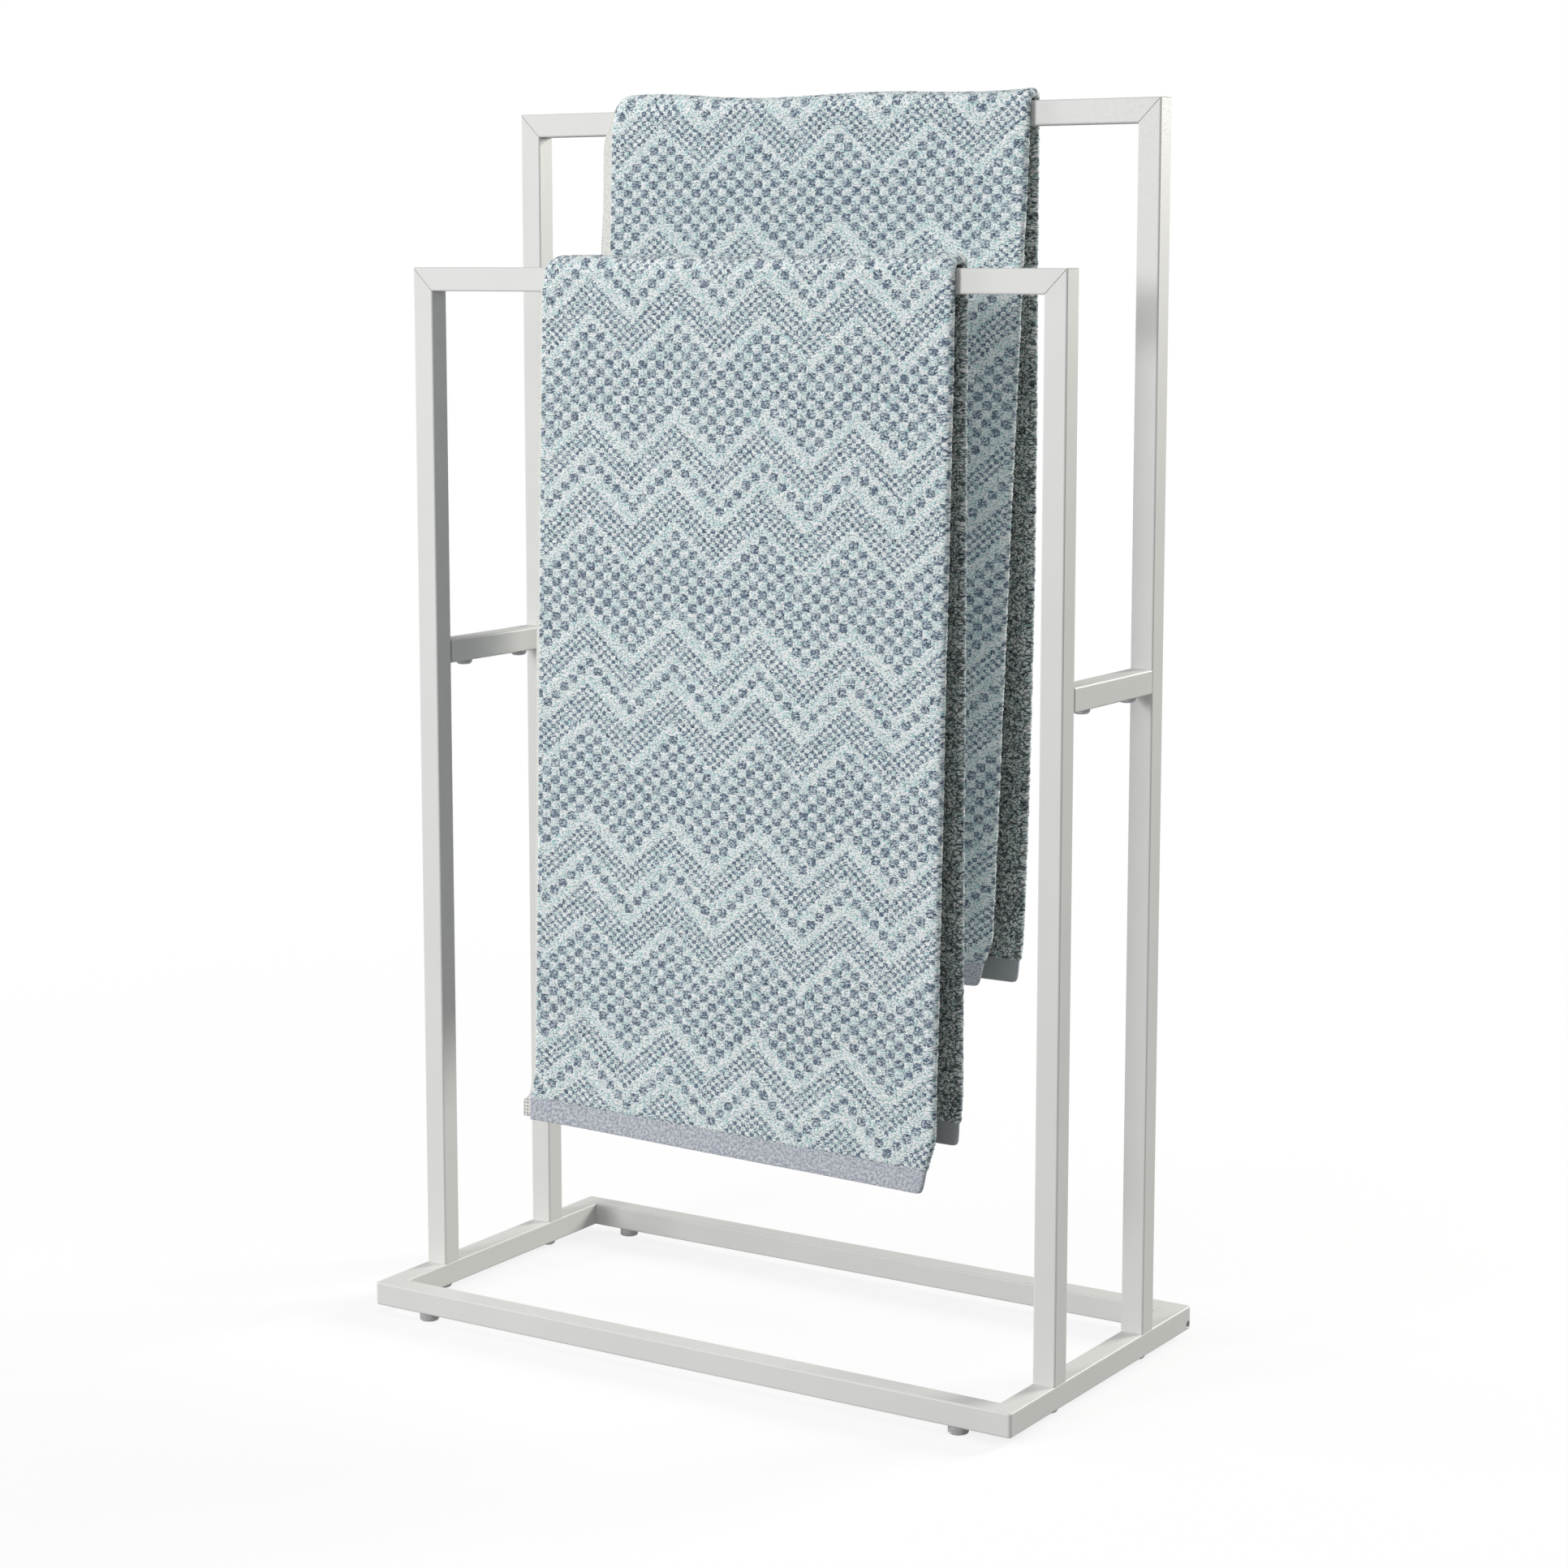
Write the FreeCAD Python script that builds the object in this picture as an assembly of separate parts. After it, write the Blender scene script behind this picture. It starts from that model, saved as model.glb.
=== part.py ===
import FreeCAD, Part
import math
import os

# Free-standing towel rack of square steel tube. Lengths are in millimetres.
# Row frame: X runs along the rails, Y from the low front rail to the high rear rail, Z up.
# The origin is on the floor, below the centre of the base.

# ---- Tube and overall sizes ----
tube = 15.0                  # outside of the square tube
wall = 1.2                   # tube wall
edge_radius = 1.2            # rounding along the tube's long edges
overall_width = 470.0        # over the uprights, and over the base, along X
base_depth = 240.0           # over the base, along Y
foot_height = 5.5            # base underside above the floor
front_height = 670.0         # top of the front rail above the base underside
rear_height = 770.0          # top of the rear rail above the base underside
crossbar_height = 430.0      # top of the crossbars above the base underside
upright_spacing = 116.0      # front upright centre to rear upright centre, along Y

# ---- Welded corners ----
base_corner_radius = 2.0     # corners of the base ring, ground round after welding
mitre_gap = 0.10             # weld root left open in the mitres of the two arches
mitre_groove = 0.4           # width and depth of the line left round those mitres

# ---- Fasteners: M6 button-head socket screws ----
thread_radius = 3.0
shank_radius = 2.95
clearance_radius = 3.3
head_radius = 5.25
head_height = 3.3
head_rim = 0.5               # straight part at the edge of the head
head_flat_radius = 2.9       # flat round the socket
head_bulge = 0.22            # rise of the dome, as a share of its chord
socket_across_flats = 4.0
socket_depth = 2.0
shank_bevel = 0.6
base_screw_length = 30.0
crossbar_screw_length = 12.0

# ---- Threaded pieces inside the tubes ----
insert_clearance = 0.1       # each side, in the tube's bore
insert_edge = 0.6
upright_plug_length = 17.0
crossbar_gap = 1.0           # open joint in front of each crossbar
crossbar_rear_gap = 0.1
front_screw_inset = 23.0     # screw centre behind the front upright
rear_screw_inset = 18.5      # screw centre in front of the rear upright
tongue_past_screw = 8.0

# ---- Clear push-in feet ----
foot_radius = 6.25
foot_edge_radius = 1.2
foot_inset = 38.5            # foot centre from the end of the long base bar
stem_radius = 2.9
stem_hole_radius = 3.0
barb_radius = 3.4
barb_gap = 0.1
barb_length = 2.2
barb_tip_radius = 2.2

# ---- Paint vent in the right side bar ----
vent_radius = 2.0
vent_inset = 3.6             # from the rear end, and above the underside
vent_bevel = 0.5

# ---- Towels, each folded in half lengthwise and hung over a rail ----
towel_thickness = 7.0        # two layers of terry
towel_rail_gap = 0.4
towel_shoulder_radius = 6.0
towel_drift = 10.0           # the hanging ends lean this far towards -X
front_towel_left = -129.0    # left edge on the rail
front_towel_width = 293.0
front_towel_front_end = 132.0
front_towel_back_end = 153.0
rear_towel_left = -159.0
rear_towel_width = 309.0     # the same towel, spread a little wider
rear_towel_front_end = 229.0
rear_towel_back_end = 229.0

# ---- Places worked out from the sizes above ----
half_width = overall_width / 2
half_depth = base_depth / 2
base_bottom = foot_height
base_top = base_bottom + tube
front_top = base_bottom + front_height
rear_top = base_bottom + rear_height
crossbar_top = base_bottom + crossbar_height
crossbar_bottom = crossbar_top - tube
front_y = -upright_spacing / 2
rear_y = upright_spacing / 2
side_x = half_width - tube / 2
long_bar_y = half_depth - tube / 2
foot_x = half_width - foot_inset
insert_side = tube - 2 * wall - 2 * insert_clearance
reach = 5.0                  # how far a cutting shape runs past what it cuts

SIDES = {"left": -1, "right": 1}
ROWS = {"front": front_y, "rear": rear_y}


def vector(x, y, z):
    return FreeCAD.Vector(x, y, z)


def block(low, high):
    """A box from its lowest corner to its highest corner."""
    size = [b - a for a, b in zip(low, high)]
    return Part.makeBox(size[0], size[1], size[2], vector(*low))


def prism(points, direction):
    """A closed outline of straight runs, pushed along a direction."""
    corners = [vector(*p) for p in points]
    outline = Part.makePolygon(corners + [corners[0]])
    return Part.Face(outline).extrude(vector(*direction))


def cylinder(x, y, z, radius, height):
    return Part.makeCylinder(radius, height, vector(x, y, z))


def edges_along(shape, axis):
    """The shape's straight edges that run along one axis, 0 for X, 1 for Y and 2 for Z."""
    found = []
    for edge in shape.Edges:
        start = edge.Vertexes[0].Point
        end = edge.Vertexes[-1].Point
        run = end - start
        if abs(run[axis]) > 0.999 * run.Length and run.Length > 1e-6:
            found.append(edge)
    return found


def square_tube(axis, centre, start, end):
    """Hollow square tube along an axis, from start to end, with rounded long edges."""
    low = [c - tube / 2 for c in centre]
    high = [c + tube / 2 for c in centre]
    low[axis] = start
    high[axis] = end
    outside = block(low, high)
    outside = outside.makeFillet(edge_radius, edges_along(outside, axis))
    bore_low = [v + wall for v in low]
    bore_high = [v - wall for v in high]
    bore_low[axis] = start - reach
    bore_high[axis] = end + reach
    return outside.cut(block(bore_low, bore_high))


def mitre_cutter(sign, y, top, above, back_off):
    """A wedge over one top corner of an arch, on the far side of its mitre plane.

    It lies above the plane for an upright, or below it for a rail, and reaches past the
    plane by back_off, measured square to it.
    """
    far = 3 * tube
    inner_x = sign * (half_width - tube)
    inner_z = top - tube
    direction = 1 if above else -1
    plane_z = inner_z - direction * back_off * math.sqrt(2)
    low_end = (inner_x - sign * far, y - tube, plane_z - far)
    high_end = (inner_x + sign * far, y - tube, plane_z + far)
    if above:
        apex = (low_end[0], y - tube, high_end[2])
    else:
        apex = (high_end[0], y - tube, low_end[2])
    return prism([low_end, high_end, apex], (0, 2 * tube, 0))


def mitred(piece, core, sign, y, top, above):
    """The piece cut at its mitre plane, with a shallow groove round the outside of the joint."""
    piece = piece.cut(mitre_cutter(sign, y, top, above, mitre_gap / 2))
    groove = mitre_cutter(sign, y, top, above, mitre_gap / 2 + mitre_groove / 2)
    return piece.cut(groove.cut(core))


def arch(name, y, top):
    """An inverted U of two uprights and a rail, mitred and welded at its two top corners."""
    pieces = {}
    core_half = tube / 2 - mitre_groove
    rail = square_tube(0, [0, y, top - tube / 2], -half_width, half_width)
    rail_core = block(
        (-half_width - reach, y - core_half, top - tube + mitre_groove),
        (half_width + reach, y + core_half, top - mitre_groove),
    )
    for side, sign in SIDES.items():
        x = sign * side_x
        upright = square_tube(2, [x, y, 0], base_top, top)
        upright_core = block(
            (x - core_half, y - core_half, base_top), (x + core_half, y + core_half, top + reach)
        )
        pieces[f"{name}_{side}_upright"] = mitred(upright, upright_core, sign, y, top, True)
        rail = mitred(rail, rail_core, sign, y, top, False)
    pieces[f"{name}_top_rail"] = rail
    return pieces


def base_ring():
    """The whole base as one hollow ring, before it is parted at its mitres."""
    outside = block((-half_width, -half_depth, base_bottom), (half_width, half_depth, base_top))
    outside = outside.makeFillet(base_corner_radius, edges_along(outside, 2))
    rims = [e for e in outside.Edges if abs(e.BoundBox.ZMax - e.BoundBox.ZMin) < 1e-6]
    outside = outside.makeFillet(edge_radius, rims)
    opening = block(
        (-half_width + tube, -half_depth + tube, base_bottom - reach),
        (half_width - tube, half_depth - tube, base_top + reach),
    )
    ring = outside.cut(opening)
    inner_rims = []
    for edge in ring.Edges:
        box = edge.BoundBox
        level = box.ZMax - box.ZMin < 1e-6
        inside = max(abs(box.XMin), abs(box.XMax)) < half_width - tube + 0.01
        inside = inside and max(abs(box.YMin), abs(box.YMax)) < half_depth - tube + 0.01
        if level and inside:
            inner_rims.append(edge)
    ring = ring.makeFillet(edge_radius, inner_rims)
    bore_outside = block(
        (-half_width + wall, -half_depth + wall, base_bottom + wall),
        (half_width - wall, half_depth - wall, base_top - wall),
    )
    bore_inside = block(
        (-half_width + tube - wall, -half_depth + tube - wall, base_bottom),
        (half_width - tube + wall, half_depth - tube + wall, base_top),
    )
    return ring.cut(bore_outside.cut(bore_inside))


def base_holes():
    """Holes through the base: screws, feet stems and the paint vent."""
    holes = []
    below = base_bottom - reach
    for sign in SIDES.values():
        for y in ROWS.values():
            holes.append(cylinder(sign * side_x, y, below, clearance_radius, tube + 2 * reach))
        for y in (-long_bar_y, long_bar_y):
            holes.append(cylinder(sign * foot_x, y, below, stem_hole_radius, reach + tube / 2))
    vent_y = half_depth - vent_inset
    vent_z = base_bottom + vent_inset
    vent = Part.makeCylinder(vent_radius, tube / 2, vector(side_x, vent_y, vent_z), vector(1, 0, 0))
    flare = Part.makeCone(
        vent_radius,
        vent_radius + vent_bevel,
        vent_bevel,
        vector(half_width - vent_bevel, vent_y, vent_z),
        vector(1, 0, 0),
    )
    return Part.makeCompound(holes + [vent, flare])


def base_bars():
    """The base ring parted at its mitres into two long bars and two side bars."""
    ring = base_ring().cut(base_holes())
    inner_x = half_width - tube
    inner_y = half_depth - tube
    far_x = half_width + reach
    far_y = half_depth + reach
    z = base_bottom - reach
    height = (0, 0, tube + 2 * reach)
    bars = {}
    for name, sign in {"front": -1, "rear": 1}.items():
        outline = [
            (-inner_x, sign * inner_y, z),
            (inner_x, sign * inner_y, z),
            (inner_x + tube + reach, sign * far_y, z),
            (-inner_x - tube - reach, sign * far_y, z),
        ]
        bars[f"base_{name}_bar"] = ring.common(prism(outline, height))
    for name, sign in SIDES.items():
        outline = [
            (sign * inner_x, -inner_y, z),
            (sign * inner_x, inner_y, z),
            (sign * far_x, inner_y + tube + reach, z),
            (sign * far_x, -inner_y - tube - reach, z),
        ]
        bars[f"base_{name}_bar"] = ring.common(prism(outline, height))
    return bars


def screw_places():
    """Centres of the screws along Y under a crossbar."""
    front_face = front_y + tube / 2
    rear_face = rear_y - tube / 2
    return front_face + front_screw_inset, rear_face - rear_screw_inset


def crossbar(sign):
    """Side tube between the two arches, with two screw holes in its lower wall."""
    start = front_y + tube / 2 + crossbar_gap
    end = rear_y - tube / 2 - crossbar_rear_gap
    bar = square_tube(1, [sign * side_x, 0, crossbar_top - tube / 2], start, end)
    below = crossbar_bottom - reach
    for y in screw_places():
        bar = bar.cut(cylinder(sign * side_x, y, below, clearance_radius, reach + tube / 2))
    return bar


def threaded_insert(axis, centre, start, end, hole):
    """Square steel insert that fills the bore of a tube, with a tapped hole along Z."""
    low = [c - insert_side / 2 for c in centre]
    high = [c + insert_side / 2 for c in centre]
    low[axis] = start
    high[axis] = end
    insert = block(low, high)
    insert = insert.makeChamfer(insert_edge, edges_along(insert, axis))
    hole_x, hole_y = hole
    drill = cylinder(hole_x, hole_y, low[2] - reach, thread_radius, high[2] - low[2] + 2 * reach)
    return insert.cut(drill)


def tongue(row, sign):
    """Stub welded to an upright's inner face, on which one end of a crossbar slides."""
    front_screw, rear_screw = screw_places()
    centre = [sign * side_x, 0, crossbar_top - tube / 2]
    if row == "front":
        return threaded_insert(
            1, centre, front_y + tube / 2, front_screw + tongue_past_screw, (sign * side_x, front_screw)
        )
    return threaded_insert(
        1, centre, rear_screw - tongue_past_screw, rear_y - tube / 2, (sign * side_x, rear_screw)
    )


def screw(x, y, seat, length):
    """Button-head socket screw driven upwards, with its head seated at height seat."""
    rim_point = vector(head_radius, 0, -head_rim)
    flat_point = vector(head_flat_radius, 0, -head_height)
    chord = rim_point - flat_point
    dome_point = flat_point + chord * 0.5 + vector(chord.z, 0, -chord.x) * head_bulge
    outline = [
        Part.makeLine(vector(0, 0, -head_height), flat_point),
        Part.Arc(flat_point, dome_point, rim_point).toShape(),
        Part.makeLine(rim_point, vector(head_radius, 0, 0)),
        Part.makeLine(vector(head_radius, 0, 0), vector(shank_radius, 0, 0)),
        Part.makeLine(vector(shank_radius, 0, 0), vector(shank_radius, 0, length - shank_bevel)),
        Part.makeLine(
            vector(shank_radius, 0, length - shank_bevel), vector(shank_radius - shank_bevel, 0, length)
        ),
        Part.makeLine(vector(shank_radius - shank_bevel, 0, length), vector(0, 0, length)),
        Part.makeLine(vector(0, 0, length), vector(0, 0, -head_height)),
    ]
    body = Part.Face(Part.Wire(outline)).revolve(vector(0, 0, 0), vector(0, 0, 1), 360)
    corner_radius = socket_across_flats / math.sqrt(3)
    socket_start = -head_height - reach
    corners = []
    for k in range(6):
        angle = math.radians(60 * k)
        corners.append((corner_radius * math.cos(angle), corner_radius * math.sin(angle), socket_start))
    body = body.cut(prism(corners, (0, 0, reach + socket_depth)))
    body.translate(vector(x, y, seat))
    return body


def foot(x, y):
    """Clear push-in foot: a round pad below the bar, and a barbed stem through its lower wall."""
    barb_bottom = base_bottom + wall + barb_gap
    barb_top = barb_bottom + barb_length
    pad = cylinder(x, y, 0, foot_radius, foot_height)
    lower_rim = [e for e in pad.Edges if e.BoundBox.ZMax < 1e-6]
    pad = pad.makeFillet(foot_edge_radius, lower_rim)
    stem_bottom = foot_height / 2
    stem = cylinder(x, y, stem_bottom, stem_radius, barb_bottom - stem_bottom)
    barb = Part.makeCone(barb_radius, barb_tip_radius, barb_top - barb_bottom, vector(x, y, barb_bottom))
    return pad.fuse(stem).fuse(barb).removeSplitter()


def towel(rail_centre_y, rail_top, left, width, front_end, back_end):
    """Folded towel over a rail: a saddle on top and two flat falls that lean sideways."""
    inner_front = rail_centre_y - tube / 2 - towel_rail_gap
    inner_back = rail_centre_y + tube / 2 + towel_rail_gap
    outer_front = inner_front - towel_thickness
    outer_back = inner_back + towel_thickness
    underside = rail_top + towel_rail_gap
    crown = underside + towel_thickness
    saddle_bottom = rail_top - tube
    right = left + width
    saddle = block((left, outer_front, saddle_bottom), (right, outer_back, crown))
    shoulders = [e for e in edges_along(saddle, 0) if e.BoundBox.ZMin > crown - 1e-6]
    saddle = saddle.makeFillet(towel_shoulder_radius, shoulders)
    saddle = saddle.cut(
        block((left - reach, inner_front, saddle_bottom - reach), (right + reach, inner_back, underside))
    )
    falls = []
    for y_low, y_high, end in ((outer_front, inner_front, front_end), (inner_back, outer_back, back_end)):
        outline = [
            (left, y_low, saddle_bottom),
            (right, y_low, saddle_bottom),
            (right - towel_drift, y_low, end),
            (left - towel_drift, y_low, end),
        ]
        falls.append(prism(outline, (0, y_high - y_low, 0)))
    return saddle.fuse(falls[0]).fuse(falls[1]).removeSplitter()


def all_nodes():
    """Every node of the rack: name to shape."""
    nodes = {}
    nodes.update(arch("front", front_y, front_top))
    nodes.update(arch("rear", rear_y, rear_top))
    nodes.update(base_bars())
    base_screws = []
    crossbar_screws = []
    for side, sign in SIDES.items():
        nodes[f"{side}_crossbar"] = crossbar(sign)
        for row, y in ROWS.items():
            x = sign * side_x
            nodes[f"{row}_{side}_upright_plug"] = threaded_insert(
                2, [x, y, 0], base_top, base_top + upright_plug_length, (x, y)
            )
            nodes[f"{row}_{side}_crossbar_tongue"] = tongue(row, sign)
            base_screws.append(screw(x, y, base_bottom, base_screw_length))
            long_y = long_bar_y if row == "rear" else -long_bar_y
            nodes[f"{row}_{side}_foot"] = foot(sign * foot_x, long_y)
        for y in screw_places():
            crossbar_screws.append(screw(sign * side_x, y, crossbar_bottom, crossbar_screw_length))
    nodes["base_screws"] = Part.makeCompound(base_screws)
    nodes["crossbar_screws"] = Part.makeCompound(crossbar_screws)
    nodes["front_towel"] = towel(
        front_y, front_top, front_towel_left, front_towel_width,
        front_towel_front_end, front_towel_back_end,
    )
    nodes["rear_towel"] = towel(
        rear_y, rear_top, rear_towel_left, rear_towel_width,
        rear_towel_front_end, rear_towel_back_end,
    )
    return nodes


os.makedirs("parts", exist_ok=True)
for node, shape in all_nodes().items():
    shape.exportStep(f"parts/{node}.step")
    print(f"{node:30s} solids {len(shape.Solids)}  valid {shape.isValid()}  volume {shape.Volume:10.1f}")
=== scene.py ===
"""Towel rack with two folded jacquard terry towels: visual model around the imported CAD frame.

Lengths in the towel section are in millimetres and become metres when a mesh is made.
"""

import math

import bpy
import numpy as np
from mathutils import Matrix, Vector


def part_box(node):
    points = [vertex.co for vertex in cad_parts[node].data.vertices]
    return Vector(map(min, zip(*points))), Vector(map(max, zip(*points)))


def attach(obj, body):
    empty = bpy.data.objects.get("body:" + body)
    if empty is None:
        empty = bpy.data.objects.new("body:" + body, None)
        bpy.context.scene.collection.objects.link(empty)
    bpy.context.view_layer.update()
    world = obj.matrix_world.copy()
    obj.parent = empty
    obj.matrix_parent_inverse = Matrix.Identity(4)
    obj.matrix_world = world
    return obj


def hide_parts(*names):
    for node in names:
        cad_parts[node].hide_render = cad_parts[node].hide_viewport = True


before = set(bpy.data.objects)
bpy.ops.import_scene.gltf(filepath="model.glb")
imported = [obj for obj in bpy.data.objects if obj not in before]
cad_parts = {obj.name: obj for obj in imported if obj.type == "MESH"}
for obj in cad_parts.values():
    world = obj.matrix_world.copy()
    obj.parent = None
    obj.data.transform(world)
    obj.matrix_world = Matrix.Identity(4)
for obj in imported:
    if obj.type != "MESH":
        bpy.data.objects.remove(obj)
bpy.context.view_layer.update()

MM = 0.001

# ---------------------------------------------------------------- cloth dimensions, mm
FOLDED_WIDTH = 291.0  # from the open edges to the outside of the lengthwise fold
LAYER = 2.6  # one thickness of terry with its pile
LAYER_GAP = 0.3  # between the two layers
SIDE_GAP = 0.9  # between the rail's sides and the inner layer
TOP_GAP = 1.4  # between the rail's top and the inner layer, which arches over it
CORNER_RADIUS = 4.0  # of the inner layer where it bends over the rail
HEM_THICKNESS = 1.6
HEM_LENGTH = 14.0
SELVEDGE_THICKNESS = 1.1
SELVEDGE_TUCK = 4.0  # how far it reaches into the inner layer's pile

# points of the meshes across the cloth, and rings along the flat edge
EDGE_ROUND = 5  # round each cut edge
FOLD_POINTS = 9  # round the lengthwise fold
HIDDEN_POINTS = 24  # on the face of each layer that the other one covers
HEM_POINTS = 90  # on each layer of a hem
SELVEDGE_RINGS = 420

# jacquard: bold cells, and fine cells of half that size, in a zigzag
CELL_WIDTH = 6.37
CELL_HEIGHT = 5.45
FIRST_COLUMN = 2.4  # from the open edge to the first whole column
CELLS_PER_WAVE = 10
REPEAT = 46  # half rows in one repeat
SINGLE_BAND = 2.0  # the band of single bold cells ends here, in half rows
CHECKER_BAND = (16.0, 34.0)
FINE_BANDS = ((5.0, 13.0), (37.0, 43.0))

# height of the pile's relief, mm
BOLD_PUFF = 0.42
FINE_PUFF = 0.30
PLAIN_PUFF = 0.26
DARK_SINK = 0.12  # the dark pile is a little lower
GRAIN = 0.28  # from loop to loop

HALF_BUNDLE = LAYER + LAYER_GAP / 2  # half the thickness of the folded cloth
MID_RADIUS = LAYER / 2 + LAYER_GAP / 2  # of the fold, at the middle of the cloth
STRAIGHT = FOLDED_WIDTH - HALF_BUNDLE  # of the outer layer, from its open edge to the fold
FOLD_END = STRAIGHT + MID_RADIUS * math.pi
CLOTH_WIDTH = 2 * STRAIGHT + MID_RADIUS * math.pi  # of the cloth, measured round the fold
FOLD_MIDDLE = STRAIGHT + MID_RADIUS * math.pi / 2


# ---------------------------------------------------------------- shader nodes
class Value:
    """A number that flows through a shader tree, with ordinary arithmetic."""

    def __init__(self, tree, socket):
        self.tree = tree
        self.socket = socket

    def _math(self, operation, *others):
        node = self.tree.nodes.new("ShaderNodeMath")
        node.operation = operation
        for slot, value in zip(node.inputs, (self, *others)):
            if isinstance(value, Value):
                self.tree.links.new(value.socket, slot)
            else:
                slot.default_value = value
        return Value(self.tree, node.outputs[0])

    def __add__(self, other):
        return self._math("ADD", other)

    def __sub__(self, other):
        return self._math("SUBTRACT", other)

    def __mul__(self, other):
        return self._math("MULTIPLY", other)

    def __truediv__(self, other):
        return self._math("DIVIDE", other)

    def __mod__(self, other):
        return self._math("FLOORED_MODULO", other)

    def __abs__(self):
        return self._math("ABSOLUTE")

    def __lt__(self, other):
        return self._math("LESS_THAN", other)

    def __gt__(self, other):
        return self._math("GREATER_THAN", other)

    def floor(self):
        return self._math("FLOOR")

    def eased(self, low, high):
        """0 below low, 1 above high, smooth between."""
        node = add(self.tree, "MapRange", {0: self, 1: low, 2: high}, interpolation_type="SMOOTHSTEP")
        return Value(self.tree, node.outputs[0])


def add(tree, kind, inputs=None, **settings):
    node = tree.nodes.new("ShaderNode" + kind)
    for key, value in settings.items():
        setattr(node, key, value)
    for key, value in (inputs or {}).items():
        if isinstance(value, Value):
            value = value.socket
        if isinstance(value, bpy.types.NodeSocket):
            tree.links.new(value, node.inputs[key])
        else:
            node.inputs[key].default_value = value
    return node


def mixed(tree, share, first, second):
    """A colour between two colours."""
    return add(tree, "Mix", {0: share, 6: first, 7: second}, data_type="RGBA").outputs[2]


def noise(tree, vector, scale, detail=2.0, roughness=0.5):
    node = add(
        tree, "TexNoise", {"Vector": vector, "Scale": scale, "Detail": detail, "Roughness": roughness}
    )
    return Value(tree, node.outputs["Fac"])


def bump(tree, height, distance, strength):
    inputs = {"Height": height, "Distance": distance, "Strength": strength}
    return add(tree, "Bump", inputs).outputs["Normal"]


def material(name, roughness=0.5, **sockets):
    """A Principled material whose plain numbers sit on the shader's own sockets."""
    made = bpy.data.materials.new(name)
    made.use_nodes = True
    shader = made.node_tree.nodes["Principled BSDF"]
    shader.inputs["Roughness"].default_value = roughness
    for key, value in sockets.items():
        shader.inputs[key.replace("_", " ")].default_value = value
    return made, made.node_tree, shader


def rgb(red, green, blue):
    """A linear colour from display values of 0 to 255."""
    return (*(((c / 255 + 0.055) / 1.055) ** 2.4 for c in (red, green, blue)), 1.0)


# ---------------------------------------------------------------- jacquard
def within(value, low, high):
    return (value > low) * (value < high)


def jacquard(across, along, first_row, floor):
    """Where the pile is dark (1) or light (0), and which bands have bold and fine cells.

    across is from the open edge and along is down the front fall, both in mm in the cloth.
    Returns the same place in columns and half rows as well.
    """
    columns = (across - FIRST_COLUMN) / CELL_WIDTH
    column = floor(columns)
    half_column = floor(columns * 2.0)
    row = (along - first_row) / (CELL_HEIGHT / 2)
    fall = abs(column % CELLS_PER_WAVE - CELLS_PER_WAVE / 2)
    fine_fall = abs((half_column + (CELLS_PER_WAVE - 0.5)) % (2 * CELLS_PER_WAVE) - CELLS_PER_WAVE)
    bold_row = (row - fall * 2.0 + CELLS_PER_WAVE) % REPEAT
    fine_row = (row + fine_fall - 0.5) % REPEAT
    single = bold_row < SINGLE_BAND
    checker = within(bold_row, *CHECKER_BAND)
    fine = within(fine_row, *FINE_BANDS[0]) + within(fine_row, *FINE_BANDS[1])
    corner_x = (columns % 1.0) * 2.0 - 1.0
    corner_y = (row % 2.0) - 1.0
    rounded = (corner_x * corner_x + corner_y * corner_y) < 1.35
    bold_dark = (single + checker * (((bold_row - CHECKER_BAND[0]) % 4.0) < 2.0)) * rounded
    fine_dark = fine * (((floor(row) + half_column) % 2.0) < 0.5)
    return bold_dark + fine_dark, single + checker, fine, columns, row


def sum_of_eighths(x, y):
    """Near 0 inside a cell and near 1 along its border, for x and y from -1 to 1."""
    for _ in range(3):
        x, y = x * x, y * y
    return x + y


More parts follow.
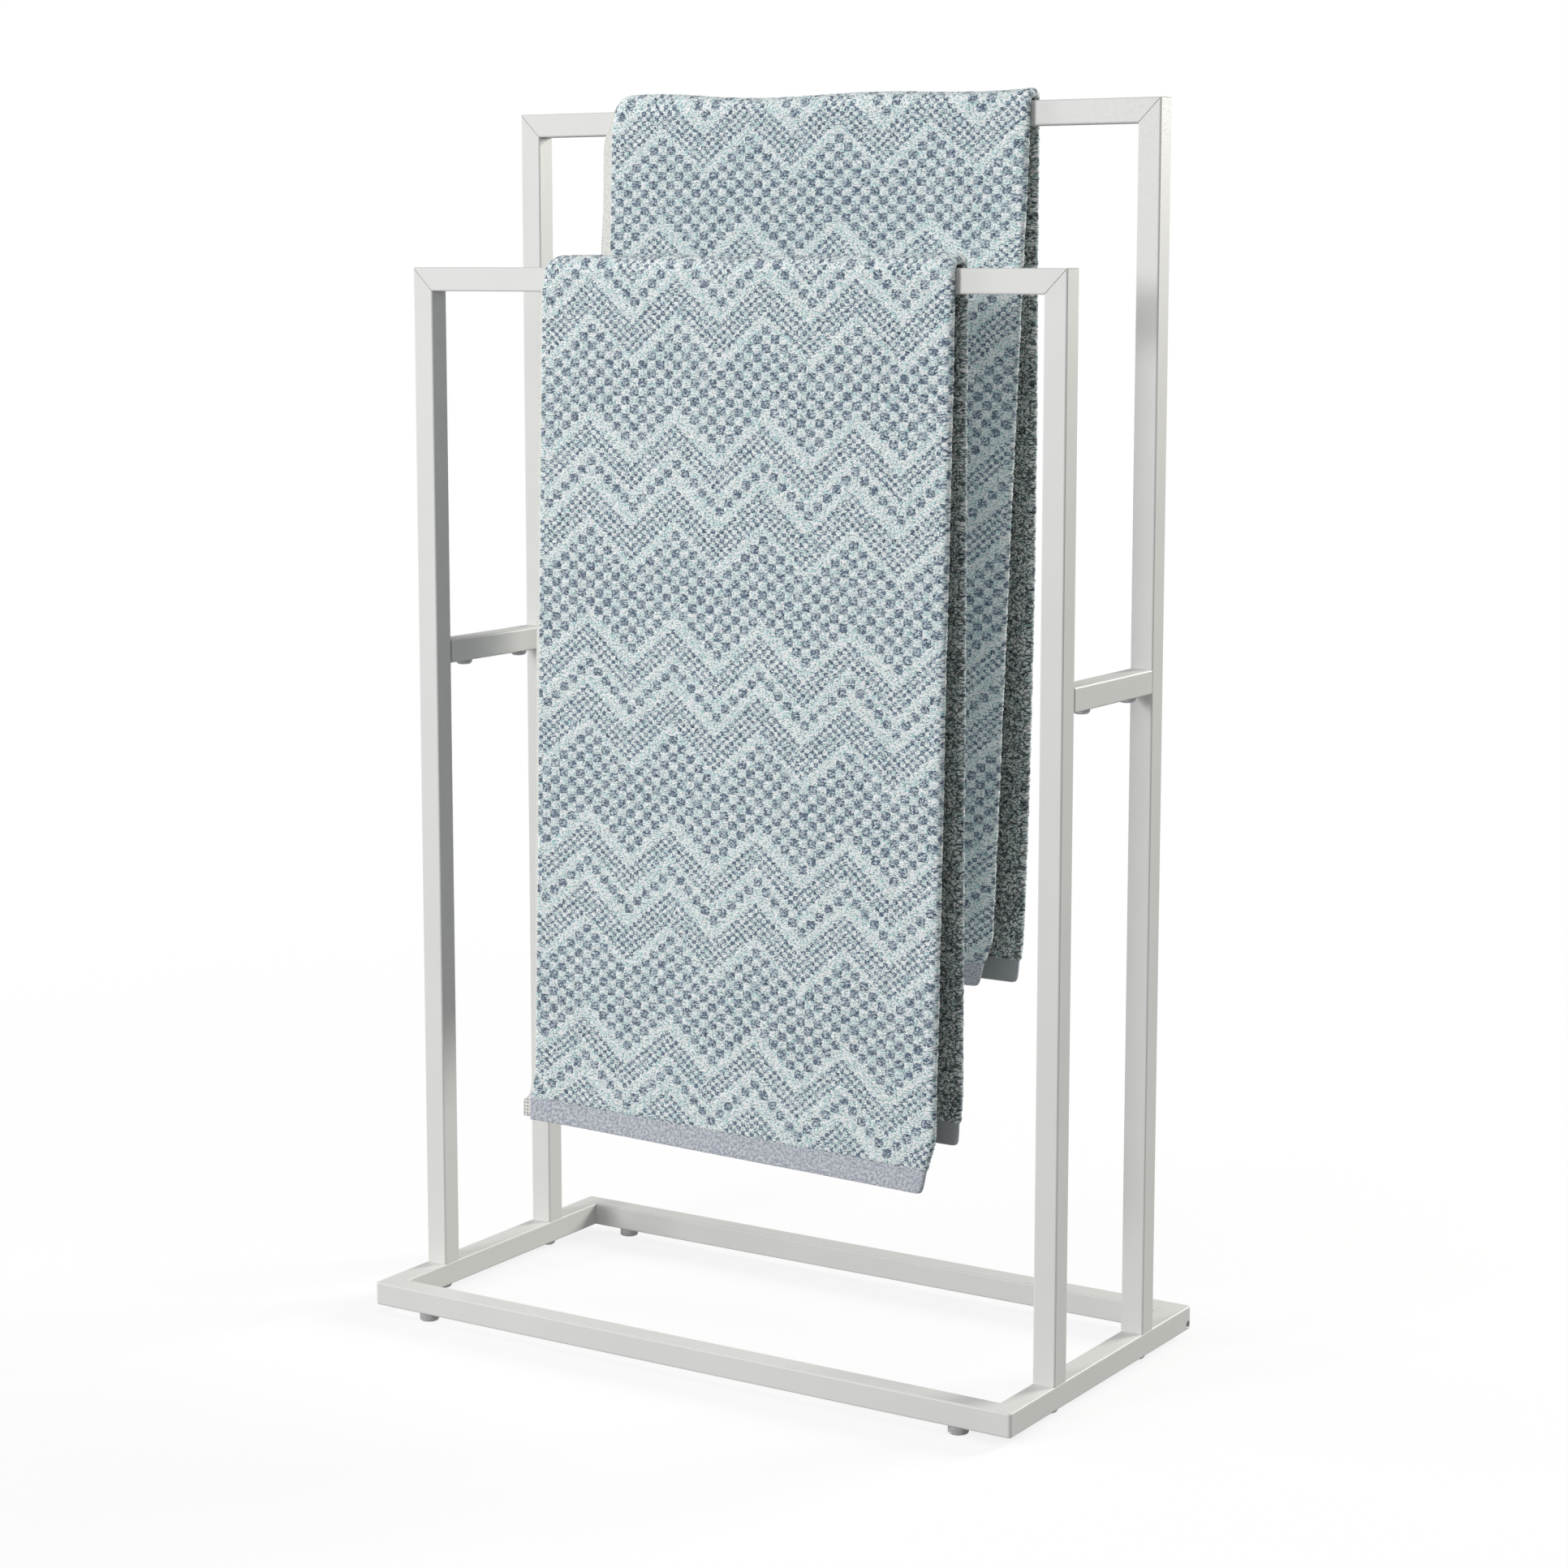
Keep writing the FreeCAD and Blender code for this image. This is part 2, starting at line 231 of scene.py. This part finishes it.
def terry(name, first_row):
    """Looped pile in two colours, from the cloth's own coordinates.

    Past the lengthwise fold the pile faces the rail; it is a flatter pile, and its colour there is painted
    darker and greyer, as painted shade.
    """
    made, tree, shader = material(name, 0.92, Sheen_Weight=0.2, Sheen_Roughness=0.6)
    shader.inputs["Specular IOR Level"].default_value = 0.15
    cloth = add(tree, "UVMap", uv_map="cloth").outputs[0]
    wobble = add(tree, "TexNoise", {"Vector": cloth, "Scale": 700.0, "Detail": 1.0}).outputs["Color"]
    wobble = add(tree, "VectorMath", {0: wobble, 1: (0.5, 0.5, 0.5)}, operation="SUBTRACT").outputs[0]
    wobble = add(tree, "VectorMath", {0: wobble, "Scale": 0.0018}, operation="SCALE").outputs[0]
    moved = add(tree, "VectorMath", {0: cloth, 1: wobble}, operation="ADD").outputs[0]
    parts = add(tree, "SeparateXYZ", {0: moved})
    across = Value(tree, parts.outputs[0]) * (1 / MM)
    along = Value(tree, parts.outputs[1]) * (1 / MM)
    dark, bold, _, columns, row = jacquard(across, along, first_row, Value.floor)
    # painted shade along the borders of the bold cells, where the puffed relief dips
    painted_seam_shade = sum_of_eighths((columns % 1.0) * 2.0 - 1.0, (row % 2.0) - 1.0).eased(0.25, 1.1) * bold

    leaning = add(tree, "Mapping", {0: moved, 2: (0.0, 0.0, 0.55), 3: (0.5, 1.0, 1.0)}).outputs[0]
    loops = add(tree, "TexVoronoi", {"Vector": leaning, "Scale": 1500.0}, voronoi_dimensions="2D")
    distance = Value(tree, loops.outputs["Distance"])
    pick = Value(tree, add(tree, "SeparateXYZ", {0: loops.outputs["Color"]}).outputs[0])
    # painted shade: the crevices between the loops are coloured darker
    painted_crevice_shade = distance.eased(0.42, 0.72)
    patches = noise(tree, cloth, 18.0, 3.0)

    light = mixed(tree, pick.eased(0.0, 0.6), rgb(192, 227, 226), rgb(255, 255, 255))
    light = mixed(tree, painted_crevice_shade * 0.75, light, rgb(98, 132, 138))
    light = mixed(tree, painted_seam_shade * 0.5, light, rgb(126, 152, 158))
    slate = mixed(tree, pick.eased(0.15, 1.0), rgb(106, 122, 144), rgb(222, 235, 239))
    slate = mixed(tree, painted_crevice_shade * 0.85, slate, rgb(36, 46, 60))
    colour = mixed(tree, dark, light, slate)

    # painted shade: past the fold the pile's colour is made darker and greyer where the cloth faces the
    # rail
    past_fold_shade = across.eased(FOLD_MIDDLE - 0.3, FOLD_MIDDLE + 1.2)
    # near-black curly lines of painted shade in the pile past the fold
    painted_curl_shade = abs(noise(tree, cloth, 290.0, 1.0) - 0.5).eased(0.01, 0.09)
    shaded_grey_pile = mixed(tree, pick.eased(0.1, 0.8), rgb(158, 188, 178), rgb(255, 255, 255))
    shaded_grey_pile = mixed(tree, painted_crevice_shade * 0.9, shaded_grey_pile, rgb(20, 25, 26))
    shaded_grey_pile = mixed(tree, painted_curl_shade, rgb(8, 12, 12), shaded_grey_pile)
    colour = mixed(tree, past_fold_shade * 0.82, colour, shaded_grey_pile)
    shade = mixed(tree, patches, (0.94, 0.95, 0.96, 1.0), (1.0, 1.0, 1.0, 1.0))
    product = {0: 1.0, 6: colour, 7: shade}
    colour = add(tree, "Mix", product, data_type="RGBA", blend_type="MULTIPLY").outputs[2]
    tree.links.new(colour, shader.inputs["Base Color"])

    height = (distance * distance * -1.0) + pick * 0.35
    tree.links.new(bump(tree, height, 0.0007, 0.7), shader.inputs["Normal"])
    return made


def flat_weave(name, first, second, scale, painted_fold_shade=None, loose=None):
    """Plain woven cloth without pile.

    It has painted shade past the lengthwise fold, and holes further out than loose mm.
    """
    made, tree, shader = material(name, 0.85, Sheen_Weight=0.15)
    shader.inputs["Specular IOR Level"].default_value = 0.2
    cloth = add(tree, "UVMap", uv_map="cloth").outputs[0]
    mottle = noise(tree, cloth, scale * 0.6, 3.0, 0.65)
    colour = mixed(tree, mottle.eased(0.35, 0.65), first, second)
    parts = add(tree, "SeparateXYZ", {0: cloth}).outputs
    across, along = (Value(tree, parts[i]) * (1 / MM) for i in (0, 1))
    # painted shade: past the fold the colour is made darker
    if painted_fold_shade:
        colour = mixed(tree, across.eased(FOLD_MIDDLE - 0.3, FOLD_MIDDLE + 1.2) * 0.85, colour, painted_fold_shade)
    if loose:
        holes = ((across * 0.85).floor() % 2.0) * ((along * 0.9).floor() % 2.0)
        colour = mixed(tree, (across < -loose) * holes, colour, rgb(160, 162, 162))
    tree.links.new(colour, shader.inputs["Base Color"])
    warp = add(tree, "TexWave", {"Vector": cloth, "Scale": scale, "Distortion": 1.2}, bands_direction="X")
    weft = add(tree, "TexWave", {"Vector": cloth, "Scale": scale, "Distortion": 1.2}, bands_direction="Y")
    height = Value(tree, warp.outputs["Fac"]) * Value(tree, weft.outputs["Fac"]) + mottle
    tree.links.new(bump(tree, height, 0.0004, 0.7), shader.inputs["Normal"])
    return made


# ---------------------------------------------------------------- draped cloth
def smooth(value, low, high):
    share = np.clip((value - low) / (high - low), 0.0, 1.0)
    return share * share * (3.0 - 2.0 * share)


class Drape:
    """Places points of a folded bundle over one rail.

    A point is (x, depth, along): x from the open edges, depth outward from the bundle's inner
    face, and along the cloth from the top of the rail, negative down the front fall.

    spread widens the bundle, and skew moves its back fall to the left. lean says for each fall,
    front and then back, how far its left and right sides drift by the hem, how far its right
    side sags, and how late the drift comes. swell is how high the cloth stands over the rail,
    from its open edges (0) to its fold (1).
    """

    def __init__(self, rail, left, spread, skew, front_bottom, back_bottom, lean, swell, seed):
        low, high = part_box(rail)
        self.left = left
        self.spread = spread
        self.skew = skew
        self.centre = (low.y + high.y) / 2 / MM
        self.top = high.z / MM + TOP_GAP
        self.half_width = (high.y - low.y) / 2 / MM + SIDE_GAP
        self.flat = self.half_width - CORNER_RADIUS
        self.bend = (CORNER_RADIUS + HALF_BUNDLE) * math.pi / 2
        self.turn = self.flat + self.bend
        self.fall_top = self.top - CORNER_RADIUS
        self.front_length = self.turn + self.fall_top - front_bottom
        self.back_length = self.turn + self.fall_top - back_bottom
        self.lean = lean
        self.swell = swell
        self.seed = seed

    def place(self, x, depth, along):
        reach = np.abs(along)
        side = np.where(along < 0, -1.0, 1.0)
        share_x = np.clip(x / FOLDED_WIDTH, 0.0, 1.0)
        # over the rail the open edges are pressed flat
        shoulder = np.clip(x / 9.0, 0.0, 1.0)
        shoulder = 0.30 + 0.70 * np.sqrt(1.0 - (1.0 - shoulder) ** 2)
        depth = depth * (1.0 - (1.0 - shoulder) * (1.0 - smooth(reach, self.turn - 6.0, self.turn + 16.0)))

        angle = np.clip((reach - self.flat) / (CORNER_RADIUS + HALF_BUNDLE), 0.0, math.pi / 2)
        radius = CORNER_RADIUS + depth
        y = np.minimum(reach, self.flat) + radius * np.sin(angle)
        z = self.top - CORNER_RADIUS + radius * np.cos(angle) - np.maximum(reach - self.turn, 0.0)

        rise = self.swell(share_x) + 0.5 * np.exp(-(((x - FOLDED_WIDTH + 3.0) / 4.5) ** 2))
        z = z + rise * (1.0 - smooth(reach, self.flat, self.turn))

        length = np.where(along < 0, self.front_length, self.back_length)
        down = np.clip((reach - self.turn) / (length - self.turn), 0.0, 1.1)
        y = y + self.wave(x, down, side)
        left_drift, right_drift, sag, power = (
            np.where(along < 0, front, back) for front, back in zip(*self.lean)
        )
        # the hem pulls the corners in, mostly at the front
        gather = smooth(reach, length - 20.0, length) * np.where(along < 0, 1.0, 0.2)
        x = x * self.spread - self.skew * smooth(along, -self.flat, self.turn)
        x = x + (left_drift * (1.0 - share_x) + right_drift * share_x) * down**power
        x = x - gather * (4.5 * share_x**12 + 3.4 * (1.0 - share_x) ** 12)
        z = z - sag * share_x * down**2
        return self.left + x, self.centre + side * y, z

    def wave(self, x, down, side):
        """How far the fall stands out from straight, always away from the rail."""
        hang = smooth(down, 0.04, 0.5)
        phase = self.seed + side
        slow = 0.5 + 0.5 * np.sin(x / 96.0 + 1.7 * phase + 1.3 * down)
        quick = 0.5 + 0.5 * np.sin(x / 37.0 - 2.1 * phase + 2.6 * down)
        return hang * (2.6 * slow + 0.9 * quick + 2.2 * down * down)

    def flare(self, x, depth, along):
        """The open edges part a little toward the bottom."""
        reach = np.abs(along)
        down = np.clip((reach - self.turn) / (self.front_length - self.turn), 0.0, 1.0)
        outer = smooth(depth, LAYER, LAYER + LAYER_GAP)
        return depth + outer * 2.2 * down**1.5 * np.exp(-np.maximum(x, 0.0) / 30.0)


def midline(p):
    """The bundle's middle line from the outer layer's open edge, round the fold, and back.

    Returns the point and its outward normal in (x, depth).
    """
    angle = np.clip((p - STRAIGHT) / MID_RADIUS, 0.0, math.pi)
    back = np.maximum(p - FOLD_END, 0.0)
    x = np.minimum(p, STRAIGHT) + MID_RADIUS * np.sin(angle) - back
    depth = HALF_BUNDLE + MID_RADIUS * np.cos(angle)
    return x, depth, np.sin(angle), np.cos(angle)


def open_edge(depth, across):
    """The rounded open edge of one layer, from its side facing the rail to its outer side."""
    tip = np.radians(np.linspace(0.0, 180.0, EDGE_ROUND + 2)[1:-1])
    same = np.ones(EDGE_ROUND)
    return 0 * same, depth * same, -np.sin(tip), -np.cos(tip), across * same, 0.3 * same


def section(seen, hidden):
    """A closed loop round the folded cloth, as points on its middle line with their normals.

    It runs along the faces that show, the inner layer's open edge, the faces between the
    layers and the outer layer's open edge. The last column is how much of the relief shows.
    """
    x, depth, nx, nd = midline(seen)
    inner_x, inner_depth, inner_nx, inner_nd = midline(hidden[::-1])
    parts = [
        (x, depth, nx, nd, seen, np.ones(len(seen))),
        open_edge(LAYER / 2, CLOTH_WIDTH),
        (inner_x, inner_depth, -inner_nx, -inner_nd, hidden[::-1], np.zeros(len(hidden))),
        open_edge(2 * HALF_BUNDLE - LAYER / 2, 0.0),
    ]
    return tuple(np.concatenate(column) for column in zip(*parts))


def mesh_from_rings(name, x, y, z, across, along):
    """A closed tube from rings of points, one ring a row, with an end face at each end."""
    rows, count = x.shape
    points = np.stack([x, y, z], -1).reshape(-1, 3) * MM
    ring = np.arange(count)
    after = (ring + 1) % count
    base = np.arange(rows - 1)[:, None] * count
    quads = np.stack([base + ring, base + after, base + count + after, base + count + ring], -1)
    quads = quads.reshape(-1, 4)
    ends = np.concatenate([ring[::-1], ring + (rows - 1) * count])

    loops = np.concatenate([quads.ravel(), ends])
    starts = np.concatenate([np.arange(len(quads)) * 4, [quads.size, quads.size + count]])
    mesh = bpy.data.meshes.new(name)
    mesh.vertices.add(len(points))
    mesh.vertices.foreach_set("co", points.astype(np.float32).ravel())
    mesh.loops.add(len(loops))
    mesh.loops.foreach_set("vertex_index", loops.astype(np.int32))
    mesh.polygons.add(len(starts))
    mesh.polygons.foreach_set("loop_start", starts.astype(np.int32))
    mesh.polygons.foreach_set("use_smooth", np.ones(len(starts), bool))
    mesh.update(calc_edges=True)

    cloth = np.stack(np.broadcast_arrays(across, along), -1).reshape(-1, 2) * MM
    layer = mesh.uv_layers.new(name="cloth")
    layer.data.foreach_set("uv", cloth[loops].astype(np.float32).ravel())
    mesh.validate()
    piece = bpy.data.objects.new(name, mesh)
    bpy.context.scene.collection.objects.link(piece)
    return piece


def finish_piece(piece, body, finish):
    piece.data.materials.append(finish)
    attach(piece, body)
    return piece


def terry_piece(name, drape, first_row, seed):
    """The pile cloth: relief of puffed cells and loops over the folded, draped bundle."""
    step_across = CELL_WIDTH / 4
    outer = np.arange(FIRST_COLUMN - step_across, STRAIGHT, step_across)
    fold = np.linspace(STRAIGHT, FOLD_END, FOLD_POINTS)
    inner = np.arange(FOLD_END + 2 * step_across, CLOTH_WIDTH - 2.0, 2 * step_across)
    seen = np.concatenate([[0.0], outer, fold, inner, [CLOTH_WIDTH]])
    hidden = np.concatenate([
        np.linspace(0.0, STRAIGHT, HIDDEN_POINTS),
        np.linspace(STRAIGHT, FOLD_END, 5)[1:-1],
        np.linspace(FOLD_END, CLOTH_WIDTH, HIDDEN_POINTS),
    ])
    bx, bd, nx, nd, across, seen_share = section(seen, hidden)
    half = LAYER / 2

    step_along = CELL_HEIGHT / 4
    front_rows = math.floor((drape.front_length - first_row) / step_along)
    back_rows = math.floor((drape.back_length + first_row) / step_along)
    down = first_row + np.arange(front_rows, -back_rows - 1, -1) * step_along  # down the front
    along = -down

    grid_across, grid_down = np.meshgrid(across, down)
    dark, bold, fine, columns, row = jacquard(grid_across, grid_down, first_row, np.floor)
    puff = 1.0 - np.maximum(np.abs(2 * (columns % 1.0) - 1), np.abs(row % 2.0 - 1)) ** 4
    fine_puff = 1.0 - np.maximum(np.abs(2 * (2 * columns % 1.0) - 1), np.abs(2 * (row % 1.0) - 1)) ** 4
    random = np.random.default_rng(seed)
    grain = random.uniform(-1.0, 1.0, grid_across.shape)
    relief = BOLD_PUFF * np.clip(bold, 0, 1) * puff + FINE_PUFF * np.clip(fine, 0, 1) * fine_puff
    relief += PLAIN_PUFF * (1 - np.clip(bold + fine, 0, 1))
    relief += GRAIN * grain - DARK_SINK * np.clip(dark, 0, 1)
    near_rail = 1.0 - smooth(np.abs(along), drape.turn, drape.turn + 12.0)
    inner_face = (bd + nd * half < HALF_BUNDLE) & (seen_share > 0)
    relief = relief * np.where(inner_face[None, :], 1.0 - near_rail[:, None], 1.0) * seen_share

    ends = np.minimum(along - along[0], along[-1] - along)[:, None]
    taper = np.sqrt(1.0 - (1.0 - np.clip(ends / 3.0, 0.0, 1.0)) ** 2) * 0.55 + 0.45
    thick = (half + relief) * taper
    x = bx + nx * thick
    depth = bd + nd * thick
    grid_along = np.broadcast_to(along[:, None], x.shape)
    depth = drape.flare(x, depth, grid_along)
    px, py, pz = drape.place(x, depth, grid_along)
    return mesh_from_rings(name, px, py, pz, grid_across, grid_down)


def hem_piece(name, drape, side):
    """The flat hem below the pile at one end, folded with the cloth."""
    length = drape.front_length if side < 0 else drape.back_length
    rounded_end = HEM_LENGTH - 1.0 + np.sin(np.radians([30, 60, 90]))
    reach = np.concatenate([[-3.0], np.linspace(0.0, HEM_LENGTH - 1.0, 8), rounded_end])
    p = np.concatenate([
        np.linspace(0.0, STRAIGHT, HEM_POINTS),
        np.linspace(STRAIGHT, FOLD_END, FOLD_POINTS)[1:-1],
        np.linspace(FOLD_END, CLOTH_WIDTH, HEM_POINTS),
    ])
    bx, bd, nx, nd, across, _ = section(p, p)
    half = HEM_THICKNESS / 2
    rings = reach[:, None]
    corner = np.clip((rings - (HEM_LENGTH - 4.0)) / 4.0, 0.0, 1.0)
    rounding = 2.0 * (1.0 - np.sqrt(1.0 - corner**2))
    narrowing = 3.4 if side < 0 else 0.8
    inset = 0.6 + narrowing * np.clip(rings / HEM_LENGTH, 0.0, 1.0) + rounding
    overhang = 1.6  # past the pile at the open edges
    stretch = (FOLDED_WIDTH - inset + overhang) / FOLDED_WIDTH
    end = np.clip(rings - (HEM_LENGTH - 1.0), 0.0, 1.0)
    taper = np.sqrt(np.clip(1.0 - end**2, 0.02, 1.0))
    x = -overhang + (bx + nx * half * taper) * stretch
    depth = bd + nd * half * taper
    along = side * (length + rings) + 0 * x
    depth = drape.flare(x, depth, along)
    px, py, pz = drape.place(x, depth, along)
    return mesh_from_rings(name, px, py, pz, across[None, :] + 0 * x, rings + 0 * x)


def selvedge_piece(name, drape, border):
    """The flat woven edge of the inner layer, standing out past the pile of the outer one."""
    start = -drape.front_length - HEM_LENGTH + 0.5
    stop = drape.back_length + HEM_LENGTH - 0.5
    along = np.linspace(start, stop, SELVEDGE_RINGS)[:, None]
    reach = np.abs(along)
    length = np.where(along < 0, drape.front_length, drape.back_length)
    width = 2.0 + (border - 2.0) * smooth(reach, drape.flat, drape.turn + 22.0)
    width = width + 4.7 * smooth(reach, length - 1.0, length + 3.0)
    width = width + 0.35 * np.sin(along / 23.0) + 0.25 * np.sin(along / 9.1)
    tip = np.radians(np.linspace(-90.0, 90.0, 7))
    half = SELVEDGE_THICKNESS / 2
    share = np.concatenate([np.linspace(0.0, 1.0, 6), np.ones(7), np.linspace(1.0, 0.0, 6)])
    nx = np.concatenate([np.zeros(6), -np.cos(tip), np.zeros(6)])
    nd = np.concatenate([-np.ones(6), np.sin(tip), np.ones(6)])
    x = SELVEDGE_TUCK - (SELVEDGE_TUCK + width) * share + nx * half
    depth = LAYER / 2 + 0.4 + nd * half + 0 * x
    wide = np.broadcast_to(along, x.shape)
    px, py, pz = drape.place(x, depth, wide)
    return mesh_from_rings(name, px, py, pz, x, -wide)


def towel(
    name, rail, left, spread, skew, front_bottom, back_bottom, border, lean, swell, row_height, seed
):
    """One towel over a rail: its pile cloth, two hems and the flat edge of its inner layer."""
    body = name + "_body"
    bottoms = front_bottom + HEM_LENGTH, back_bottom + HEM_LENGTH
    drape = Drape(rail, left, spread, skew, *bottoms, lean, swell, seed)
    first_row = drape.turn + drape.fall_top - row_height - CELL_HEIGHT / 2
    cloth = terry_piece(name + "_terry", drape, first_row, seed)
    finish_piece(cloth, body, terry(name + "_pile", first_row))
    hems = [
        finish_piece(hem_piece(name + "_front_hem", drape, -1), body, hem_weave),
        finish_piece(hem_piece(name + "_back_hem", drape, 1), body, hem_weave),
    ]
    edge_weave = flat_weave(
        name + "_edge", rgb(238, 238, 230), rgb(255, 255, 250), 900.0, loose=border + 0.4
    )
    edge = finish_piece(selvedge_piece(name + "_selvedge", drape, border), body, edge_weave)
    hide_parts(name)


# the hem's side past the fold gets a darker colour as painted shade
hem_weave = flat_weave(
    "hem_weave", rgb(166, 170, 184), rgb(230, 234, 240), 900.0, painted_fold_shade=rgb(172, 177, 178)
)

towel(
    "front_towel", "front_top_rail", left=-127.0, spread=1.0, skew=4.0,
    front_bottom=132.5, back_bottom=152.0, border=5.4,
    lean=((-8.6, -6.5, 5.0, 1.0), (-6.0, -1.0, 1.0, 1.0)),
    swell=lambda share: 0.4 * np.sin(share * 9.0) + 0.2 * np.sin(share * 23.0),
    row_height=655.0, seed=3,
)
towel(
    "rear_towel", "rear_top_rail", left=-155.3, spread=1.048, skew=6.0,
    front_bottom=229.0, back_bottom=227.0, border=9.0,
    lean=((-12.0, -19.5, 0.0, 1.0), (-9.0, -8.0, 0.0, 3.0)),
    swell=lambda share: 3.0 * np.exp(-(((share - 0.05) / 0.16) ** 2)) + 0.9 * np.sin(share * 12.6),
    row_height=771.5, seed=8,
)


# ---------------------------------------------------------------- frame finishes
def powder_coat():
    made, tree, shader = material("powder_coat", 0.46)
    place = add(tree, "NewGeometry").outputs["Position"]
    speck = noise(tree, place, 900.0, 2.0)
    cloud = noise(tree, place, 22.0, 3.0)
    colour = mixed(tree, cloud, rgb(217, 217, 214), rgb(223, 223, 220))
    tree.links.new(colour, shader.inputs["Base Color"])
    tree.links.new(bump(tree, speck, 0.00012, 0.5), shader.inputs["Normal"])
    rough = speck.eased(0.2, 0.8) * 0.12 + 0.40
    tree.links.new(rough.socket, shader.inputs["Roughness"])
    return made


def zinc():
    made, tree, shader = material("zinc_plate", 0.35, Metallic=1.0)
    place = add(tree, "NewGeometry").outputs["Position"]
    grain = noise(tree, place, 1600.0, 3.0)
    cloud = noise(tree, place, 260.0, 2.0)
    colour = mixed(tree, cloud, (0.52, 0.53, 0.54, 1.0), (0.68, 0.69, 0.70, 1.0))
    tree.links.new(colour, shader.inputs["Base Color"])
    tree.links.new((grain * 0.25 + 0.25).socket, shader.inputs["Roughness"])
    tree.links.new(bump(tree, grain, 0.00004, 0.4), shader.inputs["Normal"])
    return made


def bare_steel():
    made, tree, shader = material("mill_steel", 0.5, Metallic=1.0)
    place = add(tree, "NewGeometry").outputs["Position"]
    cloud = noise(tree, place, 140.0, 4.0)
    colour = mixed(tree, cloud, (0.20, 0.20, 0.21, 1.0), (0.34, 0.34, 0.35, 1.0))
    tree.links.new(colour, shader.inputs["Base Color"])
    tree.links.new(bump(tree, cloud, 0.00008, 0.5), shader.inputs["Normal"])
    return made


def clear_plastic():
    made, tree, shader = material("clear_plastic", 0.22, IOR=1.49)
    shader.inputs["Transmission Weight"].default_value = 0.45
    place = add(tree, "NewGeometry").outputs["Position"]
    cloud = noise(tree, place, 300.0, 2.0)
    colour = mixed(tree, cloud, rgb(206, 208, 206), rgb(222, 224, 222))
    tree.links.new(colour, shader.inputs["Base Color"])
    tree.links.new(bump(tree, cloud, 0.00006, 0.3), shader.inputs["Normal"])
    return made


finishes = {
    "white_powder_coat": powder_coat(),
    "zinc_screws": zinc(),
    "bare_steel": bare_steel(),
    "clear_plastic": clear_plastic(),
}
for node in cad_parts.values():
    for slot in node.material_slots:
        name = slot.material.name.split(".")[0]
        if name in finishes:
            slot.material = finishes[name]

# ---------------------------------------------------------------- floor, light and camera
scene = bpy.context.scene
scene.view_settings.view_transform = "Standard"


def studio_floor():
    """A faint floor that takes a soft shadow near the rack and fades out with distance."""
    made, tree, shader = material("studio_floor", 0.9)
    shader.inputs["Specular IOR Level"].default_value = 0.1
    place = add(tree, "NewGeometry").outputs["Position"]
    colour = mixed(tree, noise(tree, place, 3.0, 2.0), (0.94, 0.94, 0.94, 1.0), (0.97, 0.97, 0.97, 1.0))
    tree.links.new(colour, shader.inputs["Base Color"])
    distance = add(tree, "VectorMath", {0: place}, operation="LENGTH").outputs["Value"]
    fade = Value(tree, distance).eased(0.3, 1.4) * 0.2 + 0.8
    clear = add(tree, "BsdfTransparent").outputs[0]
    blend = add(tree, "MixShader", {0: fade, 1: shader.outputs[0], 2: clear}).outputs[0]
    tree.links.new(blend, tree.nodes["Material Output"].inputs["Surface"])
    bpy.ops.mesh.primitive_circle_add(vertices=96, radius=4.0, fill_type="NGON")
    ground = bpy.context.object
    ground.name = "studio_floor"
    ground.data.materials.append(made)


def area_light(name, azimuth, elevation, distance, size, power, colour=(1.0, 1.0, 1.0)):
    """A soft box aimed at the middle of the rack. Azimuth 0 is in front and 90 to the right."""
    turn, tilt = math.radians(azimuth), math.radians(elevation)
    away = np.array([math.sin(turn) * math.cos(tilt), -math.cos(turn) * math.cos(tilt), math.sin(tilt)])
    data = bpy.data.lights.new(name, "AREA")
    data.shape = "DISK"
    data.size = size
    data.energy = power
    data.color = colour
    lamp = bpy.data.objects.new(name, data)
    aim = np.array([0.0, 0.0, 0.42])
    lamp.location = aim + away * distance
    lamp.rotation_mode = "QUATERNION"
    lamp.rotation_quaternion = Vector(away).to_track_quat("Z", "Y")
    scene.collection.objects.link(lamp)


def sky():
    """Plain white behind the object, and a weaker even light from all round."""
    world = bpy.data.worlds.new("studio")
    scene.world = world
    world.use_nodes = True
    tree = world.node_tree
    backdrop = add(tree, "Background", {"Color": (1.0, 1.0, 1.0, 1.0), "Strength": 1.0}).outputs[0]
    fill = tree.nodes["Background"]
    fill.inputs["Color"].default_value = (0.97, 0.98, 1.0, 1.0)
    fill.inputs["Strength"].default_value = 0.27
    seen = add(tree, "LightPath").outputs["Is Camera Ray"]
    blend = add(tree, "MixShader", {0: seen, 1: fill.outputs[0], 2: backdrop}).outputs[0]
    tree.links.new(blend, tree.nodes["World Output"].inputs["Surface"])


def camera():
    """The photograph's viewpoint, 2.1 m away and 32 degrees to the right of the front."""
    data = bpy.data.cameras.new("camera")
    data.sensor_width = 36.0
    data.lens = 76.48
    data.shift_y = -0.04
    made = bpy.data.objects.new("camera", data)
    made.location = (1.1160, -1.7501, 0.6796)
    made.rotation_euler = (math.radians(90.0 - 7.87), 0.0, math.radians(32.43))
    scene.collection.objects.link(made)
    scene.camera = made


studio_floor()
area_light("key", -20.0, 15.0, 3.0, 1.0, 47.0)
area_light("left", -72.0, 10.0, 3.0, 1.0, 28.0)
area_light("front", 24.0, 25.0, 3.0, 1.0, 6.0)
area_light("back", 150.0, 20.0, 3.0, 1.2, 84.0, (1.0, 0.985, 0.93))
area_light("top", -10.0, 80.0, 3.0, 1.6, 14.0)
sky()
camera()
